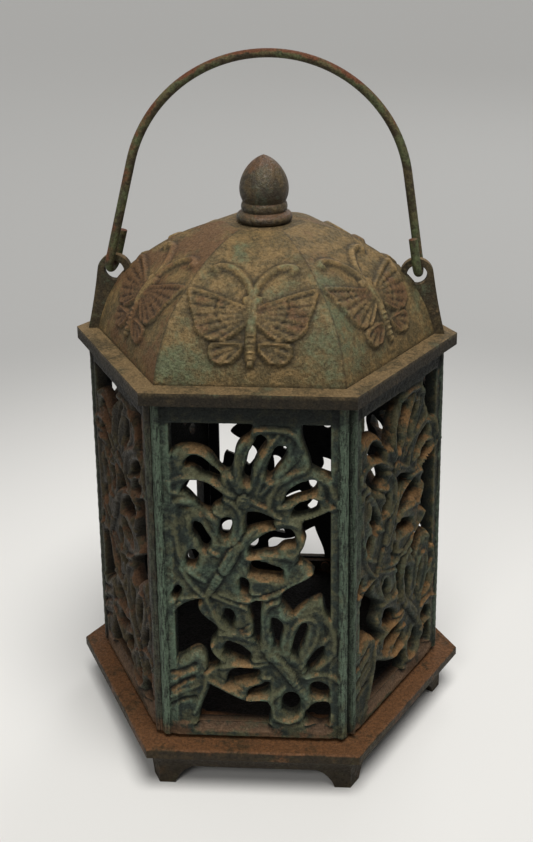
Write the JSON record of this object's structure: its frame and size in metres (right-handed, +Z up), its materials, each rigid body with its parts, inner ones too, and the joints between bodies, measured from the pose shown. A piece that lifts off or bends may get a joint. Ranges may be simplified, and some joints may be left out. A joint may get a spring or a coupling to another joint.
{
  "type": "candle lantern",
  "caption": "Hexagonal cast-iron candle lantern with butterfly openwork panels, a hinged panel door, a domed roof with an acorn finial, and a swinging wire handle.",
  "frame": {"origin": "on the floor under the middle of the lantern, at the bottom centre of its bounding box", "axes": "+Z up; the front panel faces -Y; +X is to the right seen from the front, and the two ears and the handle's ends lie along X"},
  "size_m": [0.2112, 0.183, 0.3604],
  "materials": {
    "base_iron": "rough sand-cast iron with brown rust",
    "panel_iron": "rough sand-cast iron, dark grey-green patina with ochre rust",
    "roof_iron": "rough sand-cast iron, brown and olive rust",
    "finial_iron": "rusty cast iron",
    "handle_wire": "rusty drawn wire",
    "button_iron": "rusty cast iron",
    "fastener_steel": "dull rusty steel"
  },
  "bodies": {
    "lantern": {"base": "base_iron", "panel_front": "panel_iron", "panel_front_left": "panel_iron", "panel_rear_left": "panel_iron", "panel_rear": "panel_iron", "panel_rear_right": "panel_iron", "roof": "roof_iron", "finial": "finial_iron", "finial_stud": "fastener_steel", "finial_washer": "fastener_steel", "finial_nut": "fastener_steel", "base_screws": "fastener_steel", "roof_screws": "fastener_steel"},
    "door": {"door_panel": "panel_iron", "hinge_pin_top": "fastener_steel", "hinge_pin_bottom": "fastener_steel", "turn_button_screw": "fastener_steel"},
    "turn_button": {"turn_button": "button_iron"},
    "handle": {"handle": "handle_wire"}
  },
  "joints": [
    {"name": "door_hinge", "type": "hinge", "parent": "lantern", "child": "door", "pos_m": [0.04919, -0.07285, 0.11735], "axis": [0, 0, -1], "range_deg": [0, 120]},
    {"name": "turn_button_pivot", "type": "hinge", "parent": "door", "child": "turn_button", "pos_m": [0.08116, -0.00298, 0.0492], "axis": [0.866, -0.5, 0], "range_deg": [0, 90]},
    {"name": "handle_swing", "type": "hinge", "parent": "lantern", "child": "handle", "pos_m": [0, 0, 0.25222], "axis": [1, 0, 0], "range_deg": [-108, 108]}
  ]
}
